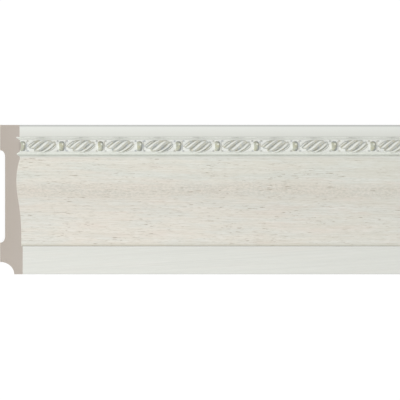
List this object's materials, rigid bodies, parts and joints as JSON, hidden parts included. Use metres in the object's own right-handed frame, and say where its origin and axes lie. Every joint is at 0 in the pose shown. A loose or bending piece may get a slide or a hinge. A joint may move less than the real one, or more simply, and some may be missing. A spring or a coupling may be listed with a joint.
{
  "type": "skirting board",
  "caption": "Straight length of moulded skirting board with a cove panel, a plain foot band and a pearl-and-rope strip below the top edge; cable cove and relief recess at the back.",
  "frame": {"origin": "on the wall plane, below the middle of the board's length and height", "axes": "+X along the board to its right end as seen on the wall, +Y from the foot edge to the top edge, +Z out of the wall to the decorated face"},
  "size_m": [2.4, 0.095, 0.0204],
  "materials": {
    "foil_faced_foam": "satin whitewashed wood-grain foil on the face, bare taupe foamed plastic on the ends and back"
  },
  "bodies": {
    "root": {"skirting_board": "foil_faced_foam"}
  },
  "joints": []
}
